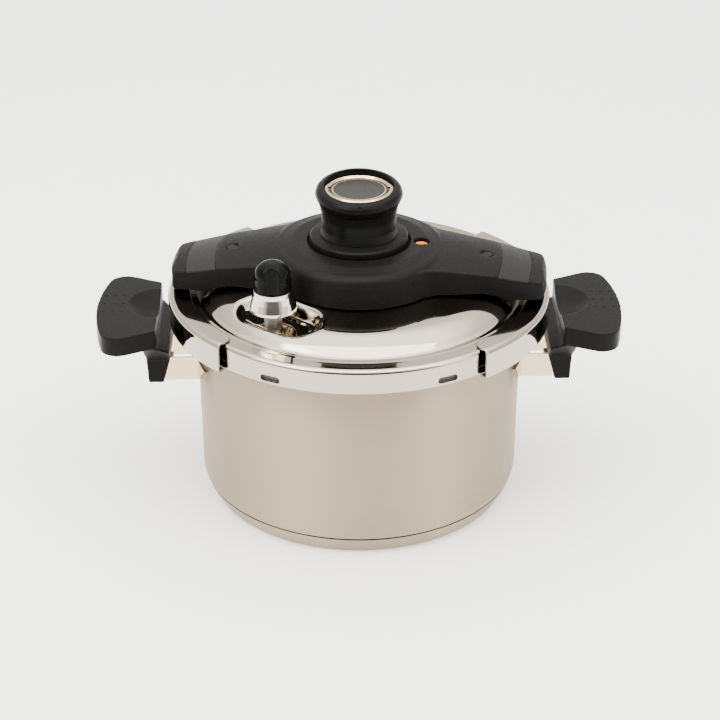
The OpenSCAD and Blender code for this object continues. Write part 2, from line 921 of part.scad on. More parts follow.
module valve_nut() {
    low = pocket_floor - lid_t;
    color(steel) at_valve() difference() {
        union() {
            hex(13, low - 5, low - 1);
            disc(8.4, low - 1, low);
        }
        disc(4, low - 10, low + 1);
    }
}

// open ring that snaps into the groove and holds the bell down
module valve_clip() {
    color(steel) at_valve() difference() {
        ring(4 + 0.35, 5.6, 162.2, 164);
        box(0, 10, -1.2, 1.2, 160, 166);
    }
}

module valve_bell() {
    color(polished) at_valve() rotate_extrude() difference() {
        polygon([[0, bell_z], [15.1, bell_z], [15.75, bell_z + 0.7], [15.6, bell_z + 2.2],
            [14.2, bell_z + 7], [13.1, bell_z + 11.4], [12.65, bell_z + 14.2], [0, bell_z + 14.2]]);
        // hollow round the middle tube
        polygon([[8, bell_z - 1], [14.3, bell_z - 1], [14.3, bell_z + 1], [11, bell_z + 11.6],
            [8, bell_z + 11.6]]);
        square([8, bell_z + 0.7]);
        square([4 + fit, 200]);
        // chamber of the spring clip
        translate([0, bell_z + 3]) square([6.4, 2.6]);
    }
}

grip_top = 192.4;
module valve_grip() {
    flutes = 3;
    base = bell_z + 14.2;
    color(black) at_valve() difference() {
        rotate_extrude() difference() {
            union() {
                polygon([[0, base], [12.65, base], [12.3, base + 5], [11.5, base + 10.6], [0, base + 10.6]]);
                intersection() {
                    translate([2.6, grip_top - 9.4]) circle(9.4, $fn = 72);
                    translate([0, base + 9.6]) square([20, 20]);
                }
                translate([0, base]) square([2.7, grip_top - base]);
            }
            square([4.4, base + 3]);
        }
        for (i = [0:flutes - 1]) rotate([0, 0, 360 * i / flutes - 86]) translate([16.5, 0, base])
            rotate([0, -8, 0]) translate([0, 0, -4]) cylinder(r = 6.5, h = 34, $fn = 72);
    }
}

// ---------- pressure indicator ----------

module indicator_pin() {
    color([0.91, 0.62, 0.2]) on_lid() translate([indicator_x, 0, 0]) {
        disc(2.5, dome_z - 7, indicator_top - 2);
        disc(4.1, indicator_top - 2, indicator_top);
        disc(4.6, dome_z - 9, dome_z - 6.9);
    }
}

module indicator_grommet() {
    color(soft_black) on_lid() translate([indicator_x, 0, 0]) difference() {
        union() {
            disc(8, dome_z - lid_t - 1.6, dome_z - lid_t);
            disc(6.1, dome_z - lid_t, dome_z);
            disc(8, dome_z, dome_z + 1.5);
        }
        disc(2.5 + fit, dome_z - 10, dome_z + 10);
    }
}

// ---------- safety valve ----------

module at_safety() {
    on_lid() translate([safety_x, 0, 0]) children();
}

safety_top = dome_z + 8;
module safety_valve_body() {
    color(brass_col) at_safety() difference() {
        union() {
            disc(9, dome_z - lid_t - 2, dome_z - lid_t);
            disc(7.1, dome_z - lid_t, safety_top);
            ring(7.1, 9, dome_z, dome_z + 1.4);
        }
        disc(2.2, dome_z - 10, dome_z);
        disc(5.2, dome_z, safety_top - 1.4);
        for (a = [0:90:270]) rotate([0, 0, a]) translate([3, 0, 0]) disc(1, safety_top - 3, safety_top + 1);
    }
}

module safety_valve_poppet() {
    color(steel) at_safety() {
        disc(4.9, dome_z, dome_z + 1);
        disc(1.6, dome_z - 2, dome_z + 2.6);
    }
}

module safety_valve_spring() {
    turns = 4;
    pitch = 1.5;
    color(steel) at_safety() for (i = [0:turns - 1]) translate([0, 0, dome_z + 1.55 + i * pitch])
        rotate_extrude() translate([3.4, 0]) circle(0.5, $fn = 16);
}

// ---------- output ----------

pot_body();
pot_rim();
base_core();
base_cap();
handle_bracket_left();
handle_bracket_right();
handle_left();
handle_right();
handle_screws();
lid_shell();
lid_gasket();
guide_plate();
centre_stud();
centre_nut();
lid_studs();
bridge_screws();
bridge_cover();
arm_inlay_left();
arm_inlay_right();
jaw_left();
jaw_right();
jaw_claw_left();
jaw_claw_right();
slide_bar_left();
slide_bar_right();
cam_pin_left();
cam_pin_right();
jaw_rivets_left();
jaw_rivets_right();
knob_shaft();
cam_plate();
knob_base();
knob_grip();
knob_bezel();
knob_plate();
knob_trim();
retaining_screw();
valve_nozzle();
valve_nut();
valve_clip();
valve_bell();
valve_grip();
indicator_pin();
indicator_grommet();
safety_valve_body();
safety_valve_poppet();
safety_valve_spring();
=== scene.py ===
import json
import math
import bpy
import bmesh
from mathutils import Matrix, Vector

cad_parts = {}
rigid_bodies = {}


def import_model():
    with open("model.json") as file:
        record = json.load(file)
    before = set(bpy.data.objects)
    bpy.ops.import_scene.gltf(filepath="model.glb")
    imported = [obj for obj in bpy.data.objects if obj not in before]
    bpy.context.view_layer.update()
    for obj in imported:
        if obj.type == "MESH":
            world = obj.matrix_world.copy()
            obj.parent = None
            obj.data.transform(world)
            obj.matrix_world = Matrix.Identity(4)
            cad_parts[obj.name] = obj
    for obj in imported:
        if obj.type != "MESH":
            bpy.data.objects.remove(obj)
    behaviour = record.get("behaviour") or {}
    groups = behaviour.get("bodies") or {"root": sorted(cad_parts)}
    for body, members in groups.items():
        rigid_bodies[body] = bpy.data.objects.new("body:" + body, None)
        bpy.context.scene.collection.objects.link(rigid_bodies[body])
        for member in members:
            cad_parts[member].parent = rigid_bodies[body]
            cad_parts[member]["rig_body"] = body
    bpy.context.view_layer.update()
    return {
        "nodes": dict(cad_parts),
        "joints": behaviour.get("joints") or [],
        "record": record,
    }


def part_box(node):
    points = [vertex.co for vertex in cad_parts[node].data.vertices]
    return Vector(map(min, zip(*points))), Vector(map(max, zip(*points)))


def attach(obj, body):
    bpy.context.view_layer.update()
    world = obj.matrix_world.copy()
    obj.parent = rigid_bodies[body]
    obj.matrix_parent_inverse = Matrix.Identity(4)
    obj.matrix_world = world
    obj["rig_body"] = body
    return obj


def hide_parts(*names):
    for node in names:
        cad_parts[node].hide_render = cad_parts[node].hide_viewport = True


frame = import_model()
NODES = frame["nodes"]
JOINTS = {j["name"]: j for j in frame["joints"]}
MM = 0.001

# the lid is set down at a small angle on the pot: its arms lie along the jaws' axis
LID_AXIS = JOINTS["jaw_left_slide"]["axis"]
LID_TURN = math.atan2(LID_AXIS[1], LID_AXIS[0])
TO_LID = Matrix.Rotation(LID_TURN, 4, "Z")


# ---------------------------------------------------------------- materials

class Shader:
    """A Principled material and the few nodes that most of them share."""

    def __init__(self, name, **values):
        self.mat = bpy.data.materials.new(name)
        self.mat.use_nodes = True
        self.tree = self.mat.node_tree
        self.bsdf = self.tree.nodes["Principled BSDF"]
        for key, value in values.items():
            self.bsdf.inputs[key.replace("_", " ")].default_value = value
        self.coords = self.tree.nodes.new("ShaderNodeTexCoord").outputs["Object"]

    def link(self, a, b):
        self.tree.links.new(a, b)

    def node(self, kind, **values):
        n = self.tree.nodes.new("ShaderNode" + kind)
        for key, value in values.items():
            if isinstance(value, str):
                setattr(n, key, value)
            else:
                n.inputs[key.replace("_", " ")].default_value = value
        return n

    def stretched(self, scale):
        m = self.node("Mapping", Scale=scale)
        self.link(self.coords, m.inputs["Vector"])
        return m.outputs["Vector"]

    def noise(self, scale, detail=3.0, rough=0.5, stretch=(1, 1, 1)):
        n = self.node("TexNoise", Scale=scale, Detail=detail, Roughness=rough)
        self.link(self.stretched(stretch), n.inputs["Vector"])
        return n.outputs["Fac"]

    def remap(self, fac, low, high, start=0.3, stop=0.7):
        m = self.node("MapRange")
        self.link(fac, m.inputs["Value"])
        for key, value in (("From Min", start), ("From Max", stop), ("To Min", low), ("To Max", high)):
            m.inputs[key].default_value = value
        return m.outputs["Result"]

    def mix(self, fac, a, b):
        m = self.tree.nodes.new("ShaderNodeMix")
        m.data_type = "RGBA"
        self.link(fac, m.inputs["Factor"])
        for socket, value in ((m.inputs[6], a), (m.inputs[7], b)):
            if isinstance(value, tuple):
                socket.default_value = (*value, 1)
            else:
                self.link(value, socket)
        return m.outputs[2]

    def bump(self, height, distance, strength=1.0, after=None):
        b = self.node("Bump", Distance=distance, Strength=strength)
        self.link(height, b.inputs["Height"])
        if after is not None:
            self.link(after, b.inputs["Normal"])
        return b.outputs["Normal"]

    def colour(self, socket):
        self.link(socket, self.bsdf.inputs["Base Color"])

    def rough(self, socket):
        self.link(socket, self.bsdf.inputs["Roughness"])

    def normal(self, socket):
        self.link(socket, self.bsdf.inputs["Normal"])


def satin_steel(name="satin_steel", seam_z=None):
    s = Shader(name, Metallic=1.0, Anisotropic=0.95, Anisotropic_Rotation=0.25)
    tangent = s.node("Tangent", direction_type="RADIAL", axis="Z")
    s.link(tangent.outputs["Tangent"], s.bsdf.inputs["Tangent"])
    lines = s.noise(1.0, 4.0, 0.6, (18, 18, 1900))
    wide = s.noise(1.0, 2.0, 0.5, (6, 6, 160))
    haze = s.noise(14.0, 3.0)
    steel = s.mix(s.remap(haze, 0.0, 1.0), (0.40, 0.322, 0.238), (0.375, 0.30, 0.22))
    if seam_z:
        # painted shade: a near-black line painted into the groove at the joint between the wall and the base
        # cap
        height = s.node("SeparateXYZ")
        s.link(s.coords, height.inputs[0])
        away = s.node("Math", operation="SUBTRACT")
        s.link(height.outputs["Z"], away.inputs[0])
        away.inputs[1].default_value = seam_z
        gap = s.node("Math", operation="ABSOLUTE")
        s.link(away.outputs[0], gap.inputs[0])
        steel = s.mix(s.remap(gap.outputs[0], 1.0, 0.0, 0.0007, 0.0009), steel, (0.02, 0.018, 0.016))
    s.colour(steel)
    s.rough(s.remap(lines, 0.42, 0.52, 0.25, 0.75))
    s.normal(s.bump(lines, 0.00002, 0.5, s.bump(wide, 0.00003, 0.25)))
    return s.mat


def polished_steel(name="polished_steel", tint=(0.43, 0.38, 0.312), deep=(0.405, 0.355, 0.285)):
    s = Shader(name, Metallic=1.0)
    smudge = s.noise(22.0, 5.0, 0.6)
    fine = s.noise(900.0, 2.0)
    s.colour(s.mix(s.remap(smudge, 0.0, 1.0), tint, deep))
    s.rough(s.remap(smudge, 0.035, 0.09))
    s.normal(s.bump(fine, 0.000004, 0.3))
    return s.mat


def plain_steel():
    s = Shader("plain_steel", Metallic=1.0)
    lines = s.noise(1.0, 4.0, 0.6, (300, 1500, 300))
    s.colour(s.mix(s.remap(s.noise(60.0), 0.0, 1.0), (0.64, 0.63, 0.61), (0.55, 0.54, 0.53)))
    s.rough(s.remap(lines, 0.26, 0.42))
    s.normal(s.bump(lines, 0.00003, 0.3))
    return s.mat


def aluminium():
    s = Shader("aluminium_core", Metallic=1.0)
    s.colour(s.mix(s.remap(s.noise(45.0), 0.0, 1.0), (0.74, 0.74, 0.75), (0.66, 0.66, 0.68)))
    s.rough(s.remap(s.noise(500.0), 0.35, 0.5))
    s.normal(s.bump(s.noise(1200.0), 0.00003, 0.4))
    return s.mat


def moulded(name, light, dark, rough, grain, depth, speckle=0.0, **values):
    """Black moulded plastic: a fine eroded grain, faint colour drift and a few lighter specks."""
    s = Shader(name, **values)
    grains = s.noise(grain, 3.0, 0.65)
    drift = s.noise(24.0, 3.0)
    base = s.mix(s.remap(drift, 0.0, 1.0), light, dark)
    if speckle:
        specks = s.remap(s.noise(grain * 0.55, 2.0, 0.7), 0.0, speckle, 0.58, 0.72)
        base = s.mix(specks, base, tuple(3.2 * c for c in light))
    s.colour(base)
    s.rough(s.remap(s.noise(grain * 0.4, 2.0), rough - 0.05, rough + 0.06))
    s.normal(s.bump(grains, depth, 0.7))
    return s.mat


def gold():
    s = Shader("gold_trim", Metallic=1.0)
    s.colour(s.mix(s.remap(s.noise(300.0), 0.0, 1.0), (0.83, 0.66, 0.38), (0.74, 0.56, 0.30)))
    s.rough(s.remap(s.noise(800.0), 0.2, 0.34))
    return s.mat


def brass():
    s = Shader("brass", Metallic=1.0)
    s.colour(s.mix(s.remap(s.noise(120.0), 0.0, 1.0), (0.76, 0.60, 0.33), (0.66, 0.50, 0.26)))
    s.rough(s.remap(s.noise(500.0), 0.22, 0.38))
    s.normal(s.bump(s.noise(900.0), 0.00002, 0.4))
    return s.mat


def silicone():
    s = Shader("grey_silicone", Metallic=0.0)
    s.colour(s.mix(s.remap(s.noise(70.0), 0.0, 1.0), (0.02, 0.02, 0.02), (0.015, 0.015, 0.015)))
    s.rough(s.remap(s.noise(300.0), 0.5, 0.66))
    s.normal(s.bump(s.noise(1500.0), 0.00003, 0.4))
    return s.mat


def orange():
    s = Shader("orange_plastic", Specular_IOR_Level=0.0)
    s.colour(s.mix(s.remap(s.noise(400.0), 0.0, 1.0), (0.80, 0.23, 0.0), (0.72, 0.20, 0.0)))
    s.rough(s.remap(s.noise(900.0), 0.3, 0.42))
    s.normal(s.bump(s.noise(1800.0), 0.00002, 0.4))
    return s.mat


def lacquered_plate():
    s = Shader("dark_plate", Metallic=0.0, Specular_IOR_Level=0.2)
    spun = s.noise(1.0, 3.0, 0.6, (700, 700, 40))
    s.colour(s.mix(s.remap(spun, 0.0, 1.0), (0.016, 0.014, 0.0125), (0.011, 0.0095, 0.0085)))
    s.rough(s.remap(spun, 0.3, 0.42))
    s.normal(s.bump(spun, 0.00002, 0.4))
    return s.mat


MATERIALS = {
    "satin_steel": satin_steel(),
    "polished_steel": polished_steel(),
    "champagne": polished_steel("champagne", (0.64, 0.50, 0.32), (0.58, 0.45, 0.28)),
    "aluminium_core": aluminium(),
    "plain_steel": plain_steel(),
    "black_handle": moulded("black_handle", (0.0045, 0.0043, 0.0043), (0.0033, 0.0033, 0.0033),
                            0.42, 1500, 0.00005, 0.25, Specular_IOR_Level=0.07),
    "black_bridge": moulded("black_bridge", (0.0055, 0.005, 0.0049), (0.004, 0.0037, 0.0036),
                            0.46, 1300, 0.00008, 0.45, Specular_IOR_Level=0.07),
    "black_knob": moulded("black_knob", (0.0032, 0.003, 0.003), (0.0022, 0.0021, 0.0021),
                          0.36, 1900, 0.00003, 0.1, Specular_IOR_Level=0.08),
    "satin_inlay": moulded("satin_inlay", (0.0065, 0.0056, 0.005), (0.005, 0.0044, 0.0039),
                           0.42, 1700, 0.00003, Specular_IOR_Level=0.15),
    "gloss_black": moulded("gloss_black", (0.003, 0.003, 0.003), (0.002, 0.002, 0.002),
                           0.12, 2200, 0.000004, Specular_IOR_Level=0.05),
    "dark_plate": lacquered_plate(),
    "gold_trim": gold(),
    "dark_screw": moulded("dark_screw", (0.005, 0.0047, 0.0045), (0.0035, 0.0035, 0.0035),
                          0.4, 1500, 0.00003, Specular_IOR_Level=0.1),
    "chrome": polished_steel("chrome", (0.70, 0.65, 0.59), (0.66, 0.61, 0.54)),
    "brass": brass(),
    "grey_silicone": silicone(),
    "orange_plastic": orange(),
}

SLOT_OF = {s["node"]: s["material_slot"] for s in frame["record"]["subparts"]}


def paint(obj, slot, material=None):
    obj.data.materials.clear()
    obj.data.materials.append(MATERIALS[material or slot])


for node_name, node in NODES.items():
    paint(node, SLOT_OF[node_name], "champagne" if node_name.startswith("handle_bracket") else None)


# ---------------------------------------------------------------- mesh tools

def new_piece(name, shape, nodes, material=None):
    """A visible piece that stands for CAD nodes: it takes their body and their material slot."""
    mesh = shape
    if isinstance(shape, bmesh.types.BMesh):
        mesh = bpy.data.meshes.new(name)
        shape.to_mesh(mesh)
        shape.free()
    for face in mesh.polygons:
        face.use_smooth = True
    obj = bpy.data.objects.new(name, mesh)
    bpy.context.scene.collection.objects.link(obj)
    paint(obj, SLOT_OF[nodes[0]], material)
    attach(obj, NODES[nodes[0]]["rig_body"])
    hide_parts(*nodes)
    return obj


def rounded(points, radius=0.3, steps=5):
    """An open outline in mm whose inner corners are replaced by arcs. A point may carry its own radius."""
    pts = [Vector(p[:2]) for p in points]
    radii = [p[2] if len(p) > 2 else radius for p in points]
    out = [pts[0]]
    for i in range(1, len(pts) - 1):
        a, b, c = pts[i - 1], pts[i], pts[i + 1]
        u, v = (a - b), (c - b)
        turn = u.angle(v)
        if radii[i] == 0 or turn > math.pi - 0.02:
            out.append(b)
            continue
        reach = min(radii[i] / math.tan(turn / 2), 0.48 * u.length, 0.48 * v.length)
        r = reach * math.tan(turn / 2)
        u.normalize()
        v.normalize()
        centre = b + (u + v).normalized() * (r / math.sin(turn / 2))
        start, end = b + u * reach - centre, b + v * reach - centre
        sweep = start.angle_signed(end)
        for k in range(steps + 1):
            out.append(centre + Matrix.Rotation(-sweep * k / steps, 2) @ start)
    out.append(pts[-1])
    return out


def turned(segments):
    return [2 * math.pi * k / segments for k in range(segments)]


def smooth_step(t):
    t = min(1.0, max(0.0, t))
    return t * t * (3 - 2 * t)


def lathe(profile, centre=(0.0, 0.0), segments=192):
    """A closed solid of revolution from an outline in mm that starts and ends on the axis or meets itself."""
    bm = bmesh.new()
    rings = []
    for r, z in profile:
        count = 1 if r < 1e-6 else segments
        spots = [(centre[0] + r * MM * math.cos(t), centre[1] + r * MM * math.sin(t)) for t in turned(count)]
        rings.append([bm.verts.new((x, y, z * MM)) for x, y in spots])
    for a, b in zip(rings, rings[1:]):
        for k in range(segments):
            j = (k + 1) % segments
            corners = [a[k % len(a)], a[j % len(a)], b[j % len(b)], b[k % len(b)]]
            unique = [v for i, v in enumerate(corners) if v not in corners[:i]]
            if len(unique) > 2:
                bm.faces.new(unique)
    bmesh.ops.remove_doubles(bm, verts=bm.verts, dist=1e-7)
    bmesh.ops.recalc_face_normals(bm, faces=bm.faces)
    return bm


def apply_modifiers(obj):
    graph = bpy.context.evaluated_depsgraph_get()
    mesh = bpy.data.meshes.new_from_object(obj.evaluated_get(graph))
    obj.modifiers.clear()
    obj.data = mesh


def softened(name, node, voxel, smooth):
    """A copy of a CAD node with its edges softened the way a moulding's are."""
    obj = new_piece(name, NODES[node].data.copy(), [node])
    remesh = obj.modifiers.new("even", "REMESH")
    remesh.mode = "VOXEL"
    remesh.voxel_size = voxel * MM
    remesh.use_smooth_shade = True
    relax = obj.modifiers.new("soft", "SMOOTH")
    relax.factor = 0.5
    relax.iterations = smooth
    apply_modifiers(obj)
    return obj


def lid_point(x, y, z):
    return TO_LID @ Vector((x * MM, y * MM, z * MM))


def mm_box(node):
    low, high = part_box(node)
    return low / MM, high / MM


# ---------------------------------------------------------------- pot

pot_low, pot_high = mm_box("pot_body")
rim_high = mm_box("pot_rim")[1]
cap_low, cap_high = mm_box("base_cap")
POT_R = pot_high.x
WALL = 1.0         # sheet of the wall
DRAFT = 1.1        # how much narrower the wall is at the bottom
CORNER = 14.0      # bend between wall and bottom
STRAIGHT = 12.0    # upright stretch below the rim
RIM_SHEET = 1.2
SEAM_Z = cap_high.z + 0.5
SEAM_DEEP, SEAM_HALF = 0.7, 0.4
# the pot's steel carries the painted shade line in the seam groove over the base cap
MATERIALS["pot_steel"] = satin_steel("pot_steel", SEAM_Z * MM)

base_z, rim_z, rim_r = pot_low.z, rim_high.z, rim_high.x
low_r = POT_R - DRAFT
in_r, low_in_r = POT_R - WALL, low_r - WALL
wall = [(0, base_z), (low_r, base_z, CORNER), (POT_R, rim_z - STRAIGHT, 30), (POT_R, rim_z - RIM_SHEET, 0.4),
        (rim_r, rim_z - RIM_SHEET, 0.5), (rim_r, rim_z, 0.55), (in_r, rim_z, 1.8),
        (in_r, rim_z - STRAIGHT, 30), (low_in_r, base_z + WALL, CORNER - WALL), (0, base_z + WALL)]
outline = []
for p in rounded(wall, 0.3, 12):
    # small groove over the base cap
    if outline and outline[-1].y < SEAM_Z <= p.y and p.x > low_r / 2:
        t = (SEAM_Z - outline[-1].y) / (p.y - outline[-1].y)
        at = outline[-1].lerp(p, t)
        outline += [at + Vector((-SEAM_DEEP / 2, -SEAM_HALF)), at + Vector((-SEAM_DEEP, 0)),
                    at + Vector((0.1, SEAM_HALF))]
    outline.append(p)
new_piece("pot_wall", lathe(outline, segments=288), ["pot_body", "pot_rim"], "pot_steel")

CAP_FOOT = 4.0     # bend at the edge of the standing face
CAP_SHEET = 0.8
cap_r = POT_R - 8.4
cap_top = cap_high.z
cap = [(0, cap_low.z), (cap_r, cap_low.z, CAP_FOOT), (cap_high.x, cap_top, 0.5),
       (cap_high.x - 0.9, cap_top, 0.3), (cap_r - CAP_SHEET, 2.6, CAP_FOOT), (cap_r - 6, CAP_SHEET, 1),
       (0, CAP_SHEET)]
new_piece("base_cup", lathe(rounded(cap, 0.3, 8), segments=288), ["base_cap"])

# ---------------------------------------------------------------- lid

lid_low, lid_high = mm_box("lid_shell")
valve_joint = JOINTS["valve_spin"]["pos_m"]
VALVE = TO_LID.inverted() @ Vector(valve_joint) / MM
ROLL = 0.1                      # swelling of the skirt's lower edge
SKIRT_R = (lid_high.y - lid_low.y) / 2 - ROLL
SHEET = 1.2
SHOULDER = 3.2                  # bend between ledge and skirt
DOME_H = 11.3
DOME_R = SKIRT_R - 13.5         # where the dome meets the ledge
DOME_TOP_R = DOME_R - 23.7      # where the dome starts to turn down
DOME_FOOT = 1.5
FOOT_BLEND = 1.2
CROWN_R = 46.0                  # inside this the dome is flat
CROWN = 1.7                     # how far the flat falls from there to its edge
dome_z = lid_high.z
ledge_z = dome_z - DOME_H
skirt_z = lid_low.z
arc_r = ((DOME_R - DOME_TOP_R) ** 2 + DOME_H ** 2) / (2 * DOME_H)

# the pocket pressed into the dome round the valve
POCKET_TURN = math.radians(-34)
POCKET_U, POCKET_V = 5.5, -2.0  # centre, from the valve, along and across
POCKET_HALF = 14.6              # half the straight length
POCKET_R = 13.0                 # half the width of the floor
POCKET_SLOPE = 1.3
POCKET_DEPTH = DOME_H - 2.8
POCKET_FLOOR_BLEND = 2.6
POCKET_LIP_BLEND = 3.4


def soft_min(a, b, k):
    h = min(1.0, max(0.0, 0.5 + 0.5 * (b - a) / k))
    return b + (a - b) * h - k * h * (1 - h)


def soft_max(a, b, k):
    return -soft_min(-a, -b, k)


def dome_height(r):
    """Height of the lid's outer face at radius r, the pocket left out."""
    t = (r - CROWN_R) / (DOME_TOP_R - CROWN_R)
    if t <= 0:
        return dome_z
    # the flat of the dome already falls a little towards its edge
    fall = CROWN * t * t if t < 1 else CROWN * (2 * t - 1)
    if r <= DOME_TOP_R:
        return dome_z - fall
    if r >= DOME_R + DOME_FOOT:
        return ledge_z
    full = ledge_z
    if r < DOME_R:
        full = dome_z - arc_r + math.sqrt(max(0.0, arc_r ** 2 - (r - DOME_TOP_R) ** 2)) - fall
    # a small fillet where the dome meets the ledge
    return soft_max(full, ledge_z, FOOT_BLEND)


def lid_height(x, y):
    """Height of the lid's outer face: the dome with the valve's pocket pressed into it."""
    top = dome_height(math.hypot(x, y))
    dx, dy = x - VALVE.x, y - VALVE.y
    u = dx * math.cos(POCKET_TURN) + dy * math.sin(POCKET_TURN) - POCKET_U
    v = -dx * math.sin(POCKET_TURN) + dy * math.cos(POCKET_TURN) - POCKET_V
    reach = math.hypot(max(0.0, abs(u) - POCKET_HALF), v)
    floor_z = dome_z - POCKET_DEPTH
    side = floor_z
    if reach > POCKET_R - 3:
        side = soft_max(floor_z + max(0.0, reach - POCKET_R) * POCKET_SLOPE, floor_z, POCKET_FLOOR_BLEND)
    return soft_min(top, side, POCKET_LIP_BLEND)


def lid_surface():
    """Outer face of the lid: dome and ledge as a height field, then the shoulder and the skirt."""
    bm = bmesh.new()
    segments, dome_rings, ledge_rings, bend_rings, skirt_rings = 360, 96, 10, 8, 6
    shoulder_in = SKIRT_R - SHOULDER
    radii = [DOME_R * k / dome_rings for k in range(1, dome_rings + 1)]
    radii += [DOME_R + (shoulder_in - DOME_R) * k / ledge_rings for k in range(1, ledge_rings + 1)]
    rings = [[bm.verts.new(lid_point(0, 0, lid_height(0, 0)))]]
    for r in radii:
        spots = [(r * math.cos(t), r * math.sin(t)) for t in turned(segments)]
        rings.append([bm.verts.new(lid_point(x, y, lid_height(x, y))) for x, y in spots])
    profile = [(shoulder_in + SHOULDER * math.sin(a), ledge_z - SHOULDER + SHOULDER * math.cos(a))
               for a in (math.pi / 2 * k / bend_rings for k in range(1, bend_rings + 1))]
    drop = ledge_z - SHOULDER - skirt_z - 1.2
    profile += [(SKIRT_R, ledge_z - SHOULDER - drop * k / skirt_rings) for k in range(1, skirt_rings + 1)]
    profile += [(SKIRT_R + ROLL - 0.01, skirt_z + 0.75), (SKIRT_R - 0.1, skirt_z + 0.15),
                (SKIRT_R - 0.6, skirt_z)]
    for r, z in profile:
        rings.append([bm.verts.new(lid_point(r * math.cos(t), r * math.sin(t), z)) for t in turned(segments)])
    for a, b in zip(rings, rings[1:]):
        for k in range(segments):
            j = (k + 1) % segments
            bm.faces.new([a[0], b[k], b[j]] if len(a) == 1 else [a[k], b[k], b[j], a[j]])
    return bm


lid = new_piece("lid_sheet", lid_surface(), ["lid_shell"])
sheet = lid.modifiers.new("sheet", "SOLIDIFY")
sheet.thickness = SHEET * MM
sheet.offset = -1
sheet.use_even_offset = True
apply_modifiers(lid)


def cut(obj, bm):
    """Take a closed mesh out of a piece."""
    mesh = bpy.data.meshes.new("tool")
    bm.to_mesh(mesh)
    bm.free()
    tool = bpy.data.objects.new("tool", mesh)
    bpy.context.scene.collection.objects.link(tool)
    difference = obj.modifiers.new("cut", "BOOLEAN")
    difference.operation = "DIFFERENCE"
    difference.solver = "EXACT"
    difference.object = tool
    apply_modifiers(obj)
    bpy.data.objects.remove(tool)


def drum(spot, r, low, high):
    p = lid_point(spot.x, spot.y, 0)
    return lathe([(0, low), (r, low), (r, high), (0, high)], (p.x, p.y), 64)


WINDOW_HALF = 4.9      # half the straight length of a slot in the skirt
WINDOW_R = 2.1
WINDOW_LIFT = 3.9
WINDOW_REACH = (110, 128)   # from inside the skirt to outside it


def pressure_window(degrees):
    """Rounded slot through the skirt, at an angle from the front."""
    bm = bmesh.new()
    steps = 16
    loop = []
    for end in (1, -1):
        for k in range(steps + 1):
            t = math.pi * (k / steps - 0.5) + (0 if end > 0 else math.pi)
            loop.append((end * WINDOW_HALF + WINDOW_R * math.cos(t), WINDOW_R * math.sin(t)))
    turn = Matrix.Rotation(math.radians(degrees - 90), 3, "Z")
    inner, outer = [], []
    for depth, ring in zip(WINDOW_REACH, (inner, outer)):
        for u, w in loop:
            p = turn @ Vector((depth, u, 0))
            ring.append(bm.verts.new(lid_point(p.x, p.y, skirt_z + WINDOW_LIFT + w)))
    bm.faces.new(inner)
    bm.faces.new(outer[::-1])
    for i in range(len(loop)):
        j = (i + 1) % len(loop)
        bm.faces.new([inner[i], outer[i], outer[j], inner[j]])
    bmesh.ops.recalc_face_normals(bm, faces=bm.faces)
    return bm


def lid_spot(node):
    """Middle of a node in the lid's own frame."""
    low, high = mm_box(node)
    return TO_LID.inverted() @ ((low + high) / 2)


INDICATOR = lid_spot("indicator_pin")
SAFETY = lid_spot("safety_valve_body")
for degrees in (-23.4, 31.4):
    cut(lid, pressure_window(degrees))
# holes for the valve, the stud, the indicator and the safety valve
for spot, r in ((VALVE, 4.1), (Vector((0, 0)), 4.1), (INDICATOR, 6.1), (SAFETY, 7.1)):
    cut(lid, drum(spot, r, ledge_z - 6, dome_z + 5))

# ---------------------------------------------------------------- jaws

JAW_SHEET = 1.6
JAW_GAP = 0.4          # to the skirt when clamped
JAW_BEND = 3.8         # between the top plate and the wall
JAW_LIP = 1.6          # between the wall and the lip
JAW_CORNER = 7.0       # at the ends of the top plate's inner edge
# how far round the lid the jaw reaches, each way from its middle
JAW_NEAR, JAW_FAR = math.radians(47.8), math.radians(50.4)


def quarter(steps):
    return [math.pi / 2 * k / steps for k in range(1, steps + 1)]


